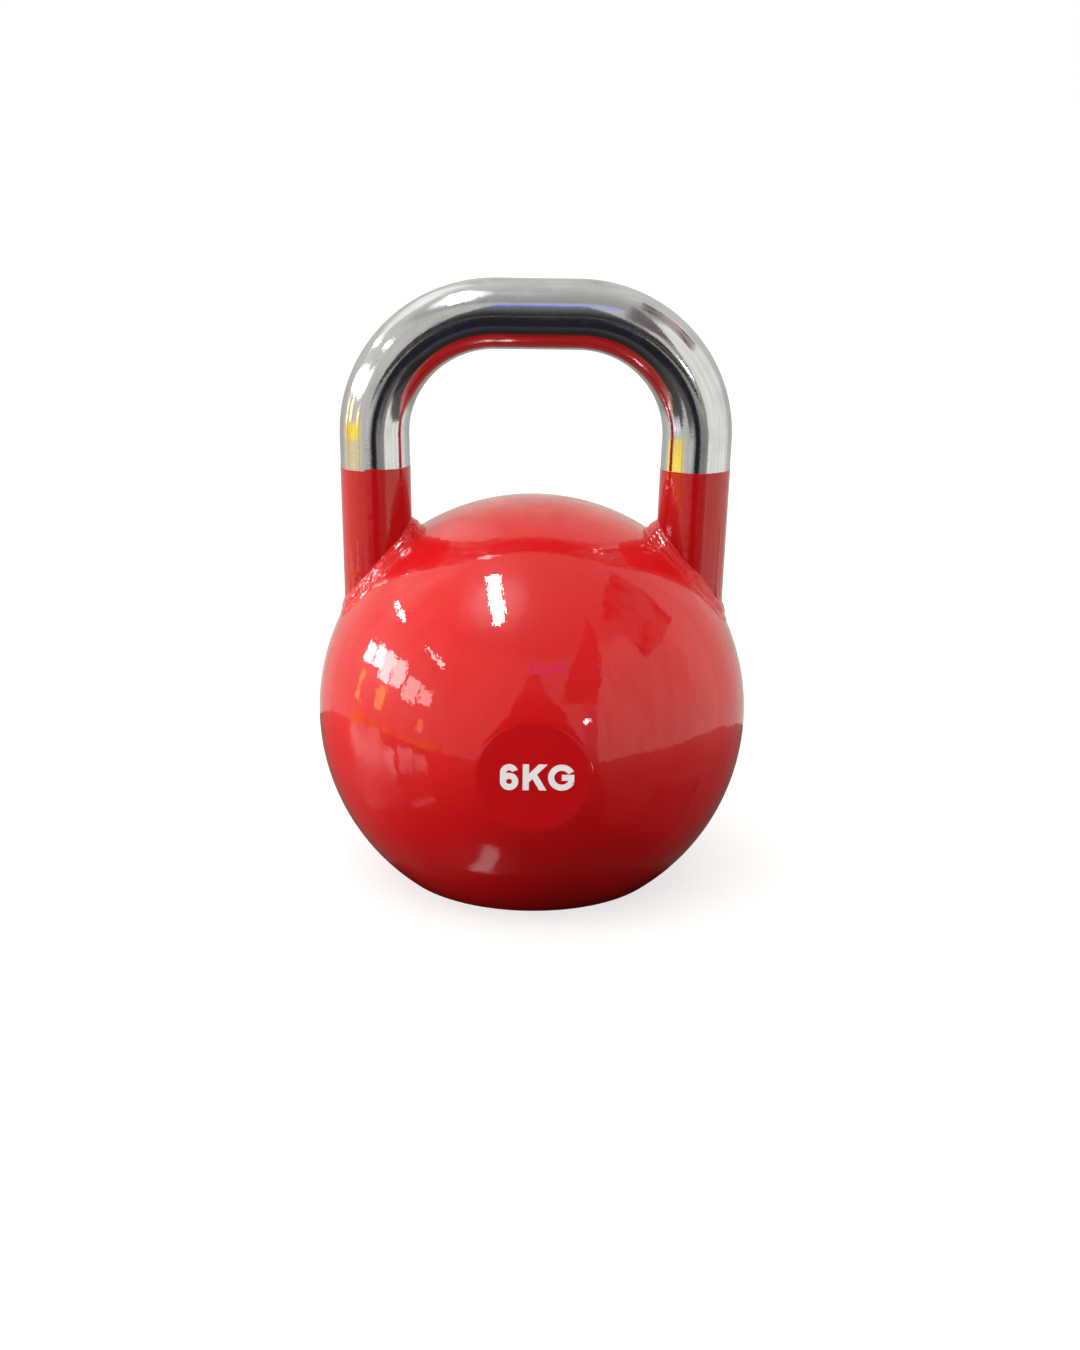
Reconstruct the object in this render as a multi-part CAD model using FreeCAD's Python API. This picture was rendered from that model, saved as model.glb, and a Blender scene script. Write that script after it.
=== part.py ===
import FreeCAD, Part
import math
import os

# A competition-pattern kettlebell: a hollow steel ball of two pressed halves, a bent tube handle
# whose legs pass into the ball and are welded to it, and a flat base plate with ballast above it.
# Axes: X along the handle's bar, Y from front to back, Z up.  The origin is on the floor, at the
# middle of the flat base.  Lengths are in millimetres and angles in degrees.

Vector = FreeCAD.Vector

# Ball
ball_radius = 105.0
ball_centre_height = 82.6
shell_wall = 3.5
base_edge_radius = 1.2
badge_radius = 26.5
badge_edge_radius = 12.0
seam_face_width = 5.0
seam_root_width = 1.6

# Handle
tube_radius = 16.7
tube_wall = 3.4
bar_half_length = 19.6
bend_radius = 57.7
leg_tilt = 1.4
window_height = 73.7
leg_insertion = 8.0
leg_hole_clearance = 0.25
leg_weld_size = 6.5

# Base and ballast
plate_thickness = 6.0
plate_clearance = 0.3
base_weld_size = 2.5
filler_hole_radius = 9.0
plug_radius = 12.0
plug_thickness = 2.0
plug_recess = 0.8
plug_edge_chamfer = 0.4
ballast_depth = 9.9

# Weight marking
marking_height = 12.6
marking_stroke = 2.85
marking_gap = 2.0
marking_offset = 2.3  # how far the row stands to the right of the badge's middle
marking_thickness = 0.2
six_mouth = 22.0  # angle where the 6's upper stroke ends
g_mouth = 30.0  # angle where the G's round stroke starts
g_spur = 28.0  # angle below the level where it ends
k_reach = 7.9  # from the middle of the K's stem to the middle of its arms' ends
k_waist = 1.8  # how far below the middle the K's rising arm leaves the stem
k_fork = 0.42  # share of the rising arm where the falling one leaves it
k_tuck = 1.7  # how far the G moves in beside the K's open side

# Sizes that follow from the ones above
centre = Vector(0, 0, ball_centre_height)
inner_radius = ball_radius - shell_wall
badge_plane = math.sqrt(ball_radius**2 - badge_radius**2)
bar_axis_height = ball_centre_height + ball_radius + window_height + tube_radius
base_opening_radius = math.sqrt(inner_radius**2 - ball_centre_height**2)
overshoot = ball_radius / 3  # how far cutting tools run past what they cut
contact_tolerance = 0.05  # how far from a surface a point may lie and still count as on it


def box_between(low, high):
    size = high - low
    return Part.makeBox(size.x, size.y, size.z, low)


def outline_face(points):
    return Part.Face(Part.makePolygon(points + points[:1]))


def upright_disc(radius, bottom, top):
    return Part.makeCylinder(radius, top - bottom, Vector(0, 0, bottom))


# ---------------------------------------------------------------- ball


def flattened_sphere(radius, flat):
    """A sphere cut flat at the front and the back, with its poles inside the two flats."""
    sphere = Part.makeSphere(radius)
    sphere.rotate(Vector(0, 0, 0), Vector(1, 0, 0), 90)
    sphere.rotate(Vector(0, 0, 0), Vector(0, 1, 0), 90)
    sphere.translate(centre)
    reach = radius + overshoot
    return sphere.common(
        box_between(centre - Vector(reach, flat, reach), centre + Vector(reach, flat, reach))
    )


def ball_inside():
    return flattened_sphere(inner_radius, badge_plane - shell_wall)


def ball_outside():
    """The ball's outer form as one solid: two badge flats with soft edges, and the flat base."""
    ball = flattened_sphere(ball_radius, badge_plane)
    reach = ball_radius + overshoot
    floor = box_between(Vector(-reach, -reach, -reach), Vector(reach, reach, 0))
    ball = ball.cut(floor)
    badge_edges = [edge for edge in ball.Edges if is_badge_edge(edge)]
    ball = ball.makeFillet(badge_edge_radius, badge_edges)
    base_edges = [edge for edge in ball.Edges if edge.BoundBox.ZMax < contact_tolerance]
    return ball.makeFillet(base_edge_radius, base_edges)


def is_badge_edge(edge):
    box = edge.BoundBox
    in_flat = abs(abs(box.Center.y) - badge_plane) < contact_tolerance
    return in_flat and box.YLength < contact_tolerance


def seam_groove():
    """The V-shaped ring, about the Y axis, that the weld between the two halves fills."""
    root = inner_radius - shell_wall
    slope = (seam_face_width - seam_root_width) / 2 / shell_wall
    half_root = seam_root_width / 2 - slope * shell_wall / 2
    face = ball_radius + shell_wall / 2
    half_face = half_root + slope * (face - root)
    profile = outline_face(
        [
            centre + Vector(0, -half_root, -root),
            centre + Vector(0, -half_face, -face),
            centre + Vector(0, half_face, -face),
            centre + Vector(0, half_root, -root),
        ]
    )
    return profile.revolve(centre, Vector(0, 1, 0), 360)


def whole_shell():
    """Both halves and their seam in one: the wall of the ball, open at the base and at the legs."""
    shell = ball_outside().cut(ball_inside())
    for side in (-1, 1):
        shell = shell.cut(leg_cylinder(side, tube_radius + leg_hole_clearance, 0))
    return shell


def half_shell(direction):
    """One pressed half; direction is -1 for the front and 1 for the back."""
    reach = ball_radius + overshoot
    middle = Vector(0, direction * reach / 2, ball_centre_height)
    half = Vector(reach, reach / 2, reach)
    keep = box_between(middle - half, middle + half)
    return whole_shell().cut(seam_groove()).common(keep)


def front_shell():
    return half_shell(-1)


def back_shell():
    return half_shell(1)


def seam_weld():
    """The bead between the halves, ground flush; the legs and the base break it into three."""
    return whole_shell().common(seam_groove())


# -------------------------------------------------------------- handle


def bend_end(side):
    """Where a bend runs into its leg, on the tube's axis."""
    turn = math.radians(90 + leg_tilt)
    along = bar_half_length + bend_radius * math.sin(turn)
    drop = bend_radius * (1 - math.cos(turn))
    return Vector(side * along, 0, bar_axis_height - drop)


def leg_direction(side):
    """Down the leg's axis; the two legs lean towards each other by the tilt."""
    lean = math.radians(leg_tilt)
    return Vector(-side * math.sin(lean), 0, -math.cos(lean))


def leg_length():
    """The leg's outer side passes right through the ball's wall, and then on by the insertion."""
    outer_line = bend_end(1) + Vector(tube_radius, 0, 0) - centre
    along = outer_line.dot(leg_direction(1))
    off_axis_squared = outer_line.Length**2 - along**2
    return leg_insertion - along - math.sqrt(inner_radius**2 - off_axis_squared)


def leg_cylinder(side, radius, extra):
    """A straight leg as a solid rod, lengthened past its lower end by extra."""
    return Part.makeCylinder(radius, leg_length() + extra, bend_end(side), leg_direction(side))


def bend_solid(side, radius):
    section = Part.Circle(Vector(side * bar_half_length, 0, bar_axis_height), Vector(1, 0, 0), radius)
    face = Part.Face(Part.Wire(section.toShape()))
    bend_centre = Vector(side * bar_half_length, 0, bar_axis_height - bend_radius)
    return face.revolve(bend_centre, Vector(0, side, 0), 90 + leg_tilt)


def handle_rod(radius, extra):
    start = Vector(-bar_half_length, 0, bar_axis_height)
    bar = Part.makeCylinder(radius, 2 * bar_half_length, start, Vector(1, 0, 0))
    pieces = []
    for side in (-1, 1):
        pieces.append(bend_solid(side, radius))
        pieces.append(leg_cylinder(side, radius, extra))
    return bar.fuse(pieces).removeSplitter()


def handle_tube():
    return handle_rod(tube_radius, 0).cut(handle_rod(tube_radius - tube_wall, overshoot))


def is_weld_root(edge, side):
    """True for the edges where the leg's surface meets the ball's."""
    for point in edge.discretize(9):
        on_ball = abs((point - centre).Length - ball_radius) < contact_tolerance
        off_axis = (point - bend_end(side)).cross(leg_direction(side)).Length
        on_leg = abs(off_axis - tube_radius) < contact_tolerance
        if not (on_ball and on_leg):
            return False
    return True


def leg_weld(side):
    """A fillet weld with legs of equal length, all round where a leg enters the ball."""
    ball = flattened_sphere(ball_radius, badge_plane)
    leg = leg_cylinder(side, tube_radius, 0)
    joined = ball.fuse(leg)
    root = [edge for edge in joined.Edges if is_weld_root(edge, side)]
    welded = joined.makeChamfer(leg_weld_size, root)
    return welded.cut([ball, leg])


def left_leg_weld():
    return leg_weld(-1)


def right_leg_weld():
    return leg_weld(1)


# ---------------------------------------------------- base and ballast


def base_disc():
    """The base plate before its filler hole, with its lower edge bevelled for the weld."""
    disc = upright_disc(base_opening_radius - plate_clearance, 0, plate_thickness)
    lower_edges = [edge for edge in disc.Edges if edge.BoundBox.ZMax < contact_tolerance]
    return disc.makeChamfer(base_weld_size, lower_edges)


def base_plate():
    hole = upright_disc(filler_hole_radius, -overshoot, plate_thickness + overshoot)
    seat = upright_disc(plug_radius, -overshoot, plug_recess + plug_thickness)
    return base_disc().cut([hole, seat])


def base_weld():
    layer = upright_disc(ball_radius, 0, base_weld_size)
    return ball_inside().common(layer).cut(base_disc())


def filler_plug():
    plug = upright_disc(plug_radius, plug_recess, plug_recess + plug_thickness)
    edge_limit = plug_recess + contact_tolerance
    lower_edges = [edge for edge in plug.Edges if edge.BoundBox.ZMax < edge_limit]
    return plug.makeChamfer(plug_edge_chamfer, lower_edges)


def ballast():
    """Shot set in resin, in the bowl of the ball on top of the base plate."""
    layer = upright_disc(ball_radius, plate_thickness, plate_thickness + ballast_depth)
    return ball_inside().common(layer)


# ------------------------------------------------------ weight marking


def straight_stroke(start, end):
    """A flat bar between two points of a glyph, with square ends."""
    along = end - start
    across = Vector(-along.z, 0, along.x).normalize() * (marking_stroke / 2)
    return outline_face([start + across, end + across, end - across, start - across])


def round_stroke(middle, radius, first, last):
    """Part of a ring, between two angles counted from +X towards +Z."""
    outline = []
    for reach in (radius + marking_stroke / 2, radius - marking_stroke / 2):
        points = []
        for share in (0, 0.5, 1):
            turn = math.radians(first + share * (last - first))
            points.append(middle + Vector(math.cos(turn), 0, math.sin(turn)) * reach)
        outline.append(points)
    outer, inner = outline
    edges = [
        Part.Arc(*outer).toShape(),
        Part.LineSegment(outer[2], inner[2]).toShape(),
        Part.Arc(*reversed(inner)).toShape(),
        Part.LineSegment(inner[0], outer[0]).toShape(),
    ]
    return Part.Face(Part.Wire(edges))


def glyph_six():
    radius = marking_height / 3 - marking_stroke / 2
    lift = marking_height / 2 - radius - marking_stroke / 2
    bowl = Vector(0, 0, -lift)
    shoulder = Vector(0, 0, lift)
    flank = Vector(-radius, 0, 0)
    strokes = [
        round_stroke(bowl, radius, 0, 180),
        round_stroke(bowl, radius, 180, 360),
        straight_stroke(bowl + flank, shoulder + flank),
        round_stroke(shoulder, radius, six_mouth, 180),
    ]
    return strokes, 2 * radius + marking_stroke


def glyph_k():
    """Both arms run on past the line's height, where the line box trims them level."""
    half_height = marking_height / 2
    rising_arm = Vector(k_reach, 0, half_height + k_waist)
    level_half_width = marking_stroke / 2 * rising_arm.Length / rising_arm.z
    width = marking_stroke / 2 + k_reach + level_half_width
    stem = -width / 2 + marking_stroke / 2
    waist = Vector(stem, 0, -k_waist)
    fork = waist + rising_arm * k_fork
    falling_arm = Vector(stem + k_reach, 0, -half_height) - fork
    overrun = 1.4
    strokes = [
        straight_stroke(Vector(stem, 0, -half_height), Vector(stem, 0, half_height)),
        straight_stroke(waist, waist + rising_arm * overrun),
        straight_stroke(fork, fork + falling_arm * overrun),
    ]
    return strokes, width


def glyph_g():
    radius = (marking_height - marking_stroke) / 2
    middle = Vector(0, 0, 0)
    turn = math.radians(g_spur)
    spur = Vector(radius * math.cos(turn), 0, -radius * math.sin(turn))
    strokes = [
        round_stroke(middle, radius, g_mouth, 180),
        round_stroke(middle, radius, 180, 360 - g_spur),
        straight_stroke(spur, Vector(spur.x, 0, marking_stroke / 2)),
        straight_stroke(middle, Vector(spur.x, 0, 0)),
    ]
    return strokes, 2 * radius + marking_stroke


def weight_marking():
    """The flat characters 6, K and G, one solid each, on the front badge."""
    glyphs = [glyph_six(), glyph_k(), glyph_g()]
    gaps = [marking_gap, marking_gap - k_tuck, 0]
    total = sum(width for strokes, width in glyphs) + sum(gaps)
    edge = marking_offset - total / 2
    half_height = marking_height / 2
    solids = []
    for (strokes, width), gap in zip(glyphs, gaps):
        place = Vector(edge + width / 2, -badge_plane, ball_centre_height)
        outward = Vector(0, -marking_thickness, 0)
        solid = strokes[0].extrude(outward).fuse([stroke.extrude(outward) for stroke in strokes[1:]])
        line_box = box_between(
            Vector(-width, -2 * marking_thickness, -half_height), Vector(width, 0, half_height)
        )
        solid = solid.common(line_box).removeSplitter()
        solid.translate(place)
        solids.extend(solid.Solids)
        edge += width + gap
    return Part.Compound(solids)


# -------------------------------------------------------------- output

parts = [
    front_shell,
    back_shell,
    seam_weld,
    handle_tube,
    left_leg_weld,
    right_leg_weld,
    base_plate,
    base_weld,
    filler_plug,
    ballast,
    weight_marking,
]

os.makedirs("parts", exist_ok=True)
for make_part in parts:
    shape = make_part()
    solids = shape.Solids
    if len(solids) == 1:
        shape = solids[0]
    shape.exportStep("parts/" + make_part.__name__ + ".step")
    box = shape.optimalBoundingBox(False)
    print(
        f"{make_part.__name__}: {len(solids)} solids, valid {shape.isValid()}, "
        f"{shape.Volume / 1000:.1f} cm3, x {box.XMin:.1f} to {box.XMax:.1f}, "
        f"y {box.YMin:.1f} to {box.YMax:.1f}, z {box.ZMin:.1f} to {box.ZMax:.1f}"
    )
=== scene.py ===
import math

import bpy
import numpy as np
from mathutils import Matrix, Vector


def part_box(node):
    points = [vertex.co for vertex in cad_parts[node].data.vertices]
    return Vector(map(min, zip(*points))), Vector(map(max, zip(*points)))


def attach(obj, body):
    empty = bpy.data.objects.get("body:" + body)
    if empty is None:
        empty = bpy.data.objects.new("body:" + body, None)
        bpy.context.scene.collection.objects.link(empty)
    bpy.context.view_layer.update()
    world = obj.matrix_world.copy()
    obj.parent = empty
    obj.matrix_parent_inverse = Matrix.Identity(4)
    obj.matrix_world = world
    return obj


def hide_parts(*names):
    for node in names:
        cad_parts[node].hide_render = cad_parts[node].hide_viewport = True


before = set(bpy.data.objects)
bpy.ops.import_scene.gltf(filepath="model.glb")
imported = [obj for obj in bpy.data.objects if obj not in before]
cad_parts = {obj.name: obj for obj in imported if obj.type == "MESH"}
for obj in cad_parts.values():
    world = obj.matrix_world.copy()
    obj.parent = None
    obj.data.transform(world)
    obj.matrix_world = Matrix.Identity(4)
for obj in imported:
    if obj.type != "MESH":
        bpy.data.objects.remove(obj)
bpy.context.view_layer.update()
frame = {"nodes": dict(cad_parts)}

# The finished look of a painted steel kettlebell with a chromed handle, in the CAD frame: X along
# the bar, Y from front to back, Z up, the origin on the floor.  Lengths are in metres.

millimetre = 0.001

# ------------------------------------------------------------- sizes from the frame

shell_low, shell_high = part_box("front_shell")
seam_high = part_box("seam_weld")[1]
handle_low, handle_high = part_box("handle_tube")

ball_radius = shell_high.x
badge_plane = -shell_low.y
ball_centre = Vector((0, 0, seam_high.z - ball_radius))
base_radius = math.sqrt(ball_radius**2 - ball_centre.z**2)
shell_wall = 3.5 * millimetre
tube_radius = handle_high.y
tube_wall = 3.4 * millimetre
bend_radius = 57.7 * millimetre
leg_tilt = math.radians(1.4)
bar_half_length = handle_high.x - tube_radius - bend_radius
bar_axis_height = handle_high.z - tube_radius

# Paint and weld
badge_softness = 0.4 * millimetre
base_edge_softness = 0.25 * millimetre
paint_thickness = 0.15 * millimetre
paint_lip = 0.3 * millimetre
weld_leg = 6.8 * millimetre
weld_root_depth = 1.2 * millimetre
seam_half_width = 2.6 * millimetre
seam_depth = 0.05 * millimetre
sharp = 1e-9

# Room: where the ceiling light is seen from the ball, in degrees, and the watts per square metre
# that a lamp gets for each unit of its brightness
ceiling_light_azimuth = -55.3
ceiling_light_elevation = 69.2
watts_per_brightness = 4.0


# ---------------------------------------------------------------- mesh code


def finish_mesh(name, points, faces, crease):
    """A shaded mesh object from points and faces; edges sharper than crease degrees stay crisp."""
    mesh = bpy.data.meshes.new(name)
    mesh.from_pydata(points.reshape(-1, 3).tolist(), [], faces)
    mesh.shade_smooth()
    mesh.set_sharp_from_angle(angle=math.radians(crease))
    mesh.validate()
    piece = bpy.data.objects.new(name, mesh)
    bpy.context.scene.collection.objects.link(piece)
    return piece


def ring_faces(ring_count, around, closed):
    """Quads between neighbouring rings; closed joins the last ring to the first."""
    faces = []
    last = ring_count if closed else ring_count - 1
    for row in range(last):
        below = row * around
        above = ((row + 1) % ring_count) * around
        for column in range(around):
            beside = (column + 1) % around
            faces.append((below + column, below + beside, above + beside, above + column))
    return faces


def closed_rings(name, rings, crease):
    """A ring-shaped solid: rings is an array of (ring, point, xyz), and the last meets the first."""
    ring_count, around, _ = rings.shape
    return finish_mesh(name, rings, ring_faces(ring_count, around, True), crease)


def rings_with_poles(name, rings, first_pole, last_pole, crease):
    """A closed solid whose first and last rings are capped by fans to a pole."""
    ring_count, around, _ = rings.shape
    faces = ring_faces(ring_count, around, False)
    first = ring_count * around
    last = first + 1
    last_ring = (ring_count - 1) * around
    for column in range(around):
        beside = (column + 1) % around
        faces.append((first, beside, column))
        faces.append((last, last_ring + column, last_ring + beside))
    points = np.vstack([rings.reshape(-1, 3), first_pole, last_pole])
    return finish_mesh(name, points, faces, crease)


def soft_maximum(a, b, softness):
    """The larger of a and b, with the corner between them rounded off."""
    overlap = np.clip(softness - np.abs(a - b), 0, None)
    return np.maximum(a, b) + overlap**2 / (4 * softness)


def wave_noise(columns, rows, seed, longest, shortest, row_share=1.0):
    """Smooth noise that repeats round a ring: columns are angles, rows run from 0 to 1.
    longest and shortest say how many waves go round the ring, and row_share scales how many
    run along the rows."""
    chance = np.random.default_rng(seed)
    total = np.zeros(np.broadcast(columns, rows).shape)
    for waves in range(longest, shortest + 1):
        phase, row_phase, strength = chance.uniform(0, 2 * math.pi, 3)
        across = chance.uniform(0, shortest * row_share)
        swing = math.sin(strength) * np.cos(waves * columns + phase)
        total += swing * np.cos(across * rows + row_phase)
    return total / math.sqrt(shortest - longest + 1)


# -------------------------------------------------------------------- ball


def spread(stops):
    """Angles in degrees between neighbouring (angle, step) stops, each stretch at its own step."""
    angles = []
    for (start, step), (end, _) in zip(stops, stops[1:]):
        count = max(1, round(abs(end - start) / step))
        angles.extend(start + (end - start) * k / count for k in range(count))
    return np.radians(angles)


def ball_directions(azimuths, elevations):
    """Unit vectors from the ball's centre, one row for each elevation."""
    azimuths = azimuths[None, :]
    elevations = elevations[:, None]
    level = np.cos(elevations)
    return np.stack(
        [level * np.sin(azimuths), -level * np.cos(azimuths), np.sin(elevations) + 0 * azimuths], -1
    )


def seam_trace(y, depth):
    """How far the ground-down weld round the middle sinks under the paint, as a height."""
    across = y / seam_half_width
    return -depth * np.exp(-(across**2))


def ball_surface(directions, radius, badge, badge_soft, base_soft, groove):
    """Distance from the ball's centre to its surface, by halving, along each direction."""
    halvings = 40
    near = np.full(directions.shape[:2], radius * 0.5)
    far = np.full(directions.shape[:2], radius * 1.05)
    for _ in range(halvings):
        middle = (near + far) / 2
        points = directions * middle[..., None]
        field = middle - radius - seam_trace(points[..., 1], groove)
        field = soft_maximum(field, np.abs(points[..., 1]) - badge, badge_soft)
        field = soft_maximum(field, -points[..., 2] - ball_centre.z, base_soft)
        inside = field < 0
        near = np.where(inside, middle, near)
        far = np.where(inside, far, middle)
    return near


def enamel_ball():
    """Both half shells and their seam as one skin of paint over steel, open at the base."""
    inner_radius = ball_radius - shell_wall
    edge = math.degrees(math.asin(ball_centre.z / ball_radius))
    opening = math.degrees(math.asin(ball_centre.z / inner_radius))
    fine = 0.35
    coarse = 1.0
    inner_step = 6
    rim_step = 0.08
    near_rim_step = 0.3
    top_row = 89.5
    badge_reach = 17
    azimuths = spread(
        [
            (-180, fine),
            (-180 + badge_reach, coarse),
            (-badge_reach, fine),
            (badge_reach, coarse),
            (180 - badge_reach, fine),
            (180, fine),
        ]
    )
    outer_rows = spread(
        [
            (top_row, coarse),
            (badge_reach, fine),
            (-badge_reach, coarse),
            (-edge + 1, rim_step),
            (-edge - 0.6, near_rim_step),
            (-opening, near_rim_step),
        ]
    )
    inner_rows = spread([(-opening, inner_step), (top_row, inner_step), (top_row, inner_step)])
    outer_directions = ball_directions(azimuths, outer_rows)
    inner_directions = ball_directions(azimuths, inner_rows)
    outer = ball_surface(
        outer_directions, ball_radius, badge_plane, badge_softness, base_edge_softness, seam_depth
    )
    inner_badge = badge_plane - shell_wall
    inner = ball_surface(inner_directions, inner_radius, inner_badge, sharp, sharp, 0)
    rings = np.vstack([outer_directions * outer[..., None], inner_directions * inner[..., None]])
    rings += np.array(ball_centre)
    top = np.array(ball_centre) + [0, 0, ball_radius - seam_depth]
    inner_top = np.array(ball_centre) + [0, 0, inner_radius]
    return rings_with_poles("enamel_ball", rings, top, inner_top, 60)


# ------------------------------------------------------------------ handle


def half_handle_path():
    """Points and directions on the tube's axis, in X and Z, from the bar's middle to a leg's end."""
    bar_steps = 12
    bend_steps = 90
    leg_steps = 60
    turn = math.pi / 2 + leg_tilt
    bend_middle = np.array([bar_half_length, bar_axis_height - bend_radius])
    points = []
    directions = []
    for x in np.linspace(0, bar_half_length, bar_steps, endpoint=False):
        points.append([x, bar_axis_height])
        directions.append([1, 0])
    for angle in np.linspace(0, turn, bend_steps, endpoint=False):
        points.append(bend_middle + bend_radius * np.array([math.sin(angle), math.cos(angle)]))
        directions.append([math.cos(angle), -math.sin(angle)])
    start = bend_middle + bend_radius * np.array([math.sin(turn), math.cos(turn)])
    down = np.array([math.cos(turn), -math.sin(turn)])
    for along in np.linspace(0, leg_length(), leg_steps):
        points.append(start + along * down)
        directions.append(down)
    return np.array(points), np.array(directions)


def leg_start(side):
    """Where a bend runs into its leg, on the tube's axis."""
    return Vector(
        (
            side * (bar_half_length + bend_radius * math.cos(leg_tilt)),
            0,
            bar_axis_height - bend_radius * (1 + math.sin(leg_tilt)),
        )
    )


def leg_length():
    """Length of the straight part of a leg, down to its end inside the ball."""
    end_height = handle_low.z + tube_radius * math.sin(leg_tilt)
    return (leg_start(1).z - end_height) / math.cos(leg_tilt)


def tube_rings(points, directions, radius, around):
    """Rings round a path in the XZ plane."""
    turns = np.linspace(0, 2 * math.pi, around, endpoint=False)
    across = np.stack([-directions[:, 1], directions[:, 0]], -1)
    in_plane = np.cos(turns)[None, :, None] * across[:, None, :] * radius
    x = points[:, None, 0] + in_plane[..., 0]
    z = points[:, None, 1] + in_plane[..., 1]
    y = np.sin(turns)[None, :] * radius + 0 * x
    return np.stack([x, y, z], -1)


def chrome_handle():
    """The bent tube with its bore; its ends are inside the ball."""
    points, directions = half_handle_path()
    mirror = np.array([-1, 1])
    points = np.vstack([points[::-1] * mirror, points[1:]])
    directions = np.vstack([directions[::-1] * -mirror, directions[1:]])
    around = 160
    outer = tube_rings(points, directions, tube_radius, around)
    inner = tube_rings(points[::-1], directions[::-1], tube_radius - tube_wall, around)
    return closed_rings("chrome_handle", np.vstack([outer, inner]), 40)


# -------------------------------------------------------- paint on the legs


def leg_axes(side):
    """The leg's downward, frontward and outward directions."""
    down = np.array([-side * math.sin(leg_tilt), 0, -math.cos(leg_tilt)])
    front = np.array([0.0, -1.0, 0.0])
    outward = np.array([side * math.cos(leg_tilt), 0, -math.sin(leg_tilt)])
    return down, front, outward


def leg_spokes(side, turns):
    """Unit vectors square to the leg: 0 points to the front, 90 degrees away from the window."""
    _, front, outward = leg_axes(side)
    return np.cos(turns)[:, None] * front + np.sin(turns)[:, None] * outward


def root_distances(side, turns):
    """How far down the leg its surface meets the ball's, for each turn."""
    down, _, _ = leg_axes(side)
    start = np.array(leg_start(side)) + leg_spokes(side, turns) * tube_radius
    offset = start - np.array(ball_centre)
    along = offset @ down
    off_axis = (offset**2).sum(-1) - along**2
    return -along - np.sqrt(ball_radius**2 - off_axis)


def paint_line(side, turns):
    """Height above the ball's centre where the paint stops: hand-masked, so not quite level."""
    front_rise = 1.4 * millimetre
    middle_height = 121.6 * millimetre
    ragged = 0.10 * millimetre * wave_noise(turns, 0, seed=11 + side, longest=9, shortest=60)
    drift = 0.25 * millimetre * wave_noise(turns, 0, seed=31 + side, longest=2, shortest=6)
    heights = middle_height + front_rise * np.cos(turns) + ragged + drift
    if side < 0:
        tape_step = 1.3 * millimetre
        step_turn = math.radians(14)
        step_softness = 0.02
        return_turn = math.radians(75)
        return_softness = 0.15
        rise = 1 / (1 + np.exp((turns - step_turn) / step_softness))
        back_again = 1 / (1 + np.exp((turns - return_turn) / return_softness))
        heights -= tape_step * (back_again - rise)
    return heights


def paint_runs(side, turns, heights):
    """Drips and nibs that stand out of the paint on the outer side of each leg: the turn in
    degrees, then lowest point, highest point, width and height in millimetres."""
    if side < 0:
        runs = [
            (44, 156, 165, 0.9, 0.22),
            (41, 148, 151, 1.2, 0.35),
            (52, 144, 146, 1.3, 0.35),
            (36, 151, 153, 0.8, 0.25),
            (56, 158, 159, 0.7, 0.20),
            (48, 139, 141, 1.4, 0.30),
        ]
    else:
        runs = [
            (50, 146, 178, 0.8, 0.28),
            (50, 143, 146, 1.3, 0.45),
            (39, 160, 161, 0.7, 0.15),
        ]
    raised = np.zeros(np.broadcast(turns, heights).shape)
    for degrees, low, high, width, height in runs:
        spread_width = width * millimetre
        middle = (low + high) / 2 * millimetre
        half_length = (high - low) / 2 * millimetre
        aside = (turns - math.radians(degrees)) * tube_radius / spread_width
        beyond = np.clip(np.abs(heights - middle) - half_length, 0, None) / spread_width
        raised += height * millimetre * np.exp(-(aside**2) - beyond**2)
    return raised


def leg_enamel(side, name):
    """The sleeve of paint from the weld up to the masked line on the chrome."""
    around = 288
    rows = 56
    under_weld = 3 * millimetre
    turns = np.linspace(0, 2 * math.pi, around, endpoint=False)
    down, _, _ = leg_axes(side)
    spokes = leg_spokes(side, turns)
    signed = (turns + math.pi) % (2 * math.pi) - math.pi
    start = np.array(leg_start(side))
    line = ball_centre.z + paint_line(side, signed)
    top = (start[2] + tube_radius * spokes[:, 2] - line) / math.cos(leg_tilt)
    bottom = root_distances(side, turns) + under_weld
    rings = []
    bedding = 0.4
    lip_steps = ((-bedding, 0.0), (0.5, 0.0), (0.85, 0.12), (1.0, 0.45), (1.0, 1.0))
    for rise, back in lip_steps:
        reach = tube_radius + rise * paint_thickness
        along = top + back * paint_lip
        rings.append(start + down * along[:, None] + spokes * reach)
    for row in range(1, rows + 1):
        share = row / rows
        along = top + paint_lip + (bottom - top - paint_lip) * share
        heights = start[2] + spokes[:, 2] * tube_radius - along * math.cos(leg_tilt)
        reach = tube_radius + paint_thickness + paint_runs(side, signed, heights)
        rings.append(start + down * along[:, None] + spokes * reach[:, None])
    inside = tube_radius - bedding * paint_thickness
    rings.append(start + down * bottom[:, None] + spokes * inside)
    return closed_rings(name, np.array(rings), 70)


# ------------------------------------------------------------- weld beads


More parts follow.
